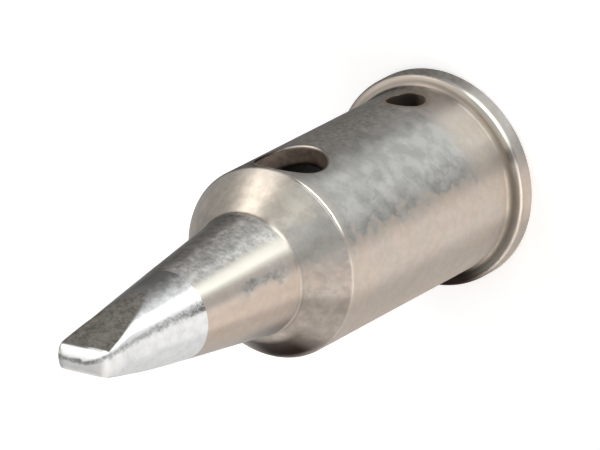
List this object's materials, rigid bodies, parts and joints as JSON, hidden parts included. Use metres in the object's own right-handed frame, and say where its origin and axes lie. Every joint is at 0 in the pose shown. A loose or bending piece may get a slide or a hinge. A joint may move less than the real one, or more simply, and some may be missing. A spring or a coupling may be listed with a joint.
{
  "type": "soldering iron tip",
  "caption": "Turned soldering iron tip: flanged hollow barrel with side holes, sloping shoulder, tapered neck and double-flat chisel blade.",
  "frame": {"origin": "centre of the flange's rear face, on the turning axis", "axes": "+Z along the turning axis towards the blade, both side holes open towards -Y, the blade's width runs along X"},
  "size_m": [0.0098, 0.0096, 0.0273],
  "materials": {
    "soldering_tip": "satin nickel plating over copper, mottled by handling, with a bright tinned blade"
  },
  "bodies": {
    "root": {"soldering_tip": "soldering_tip"}
  },
  "joints": []
}
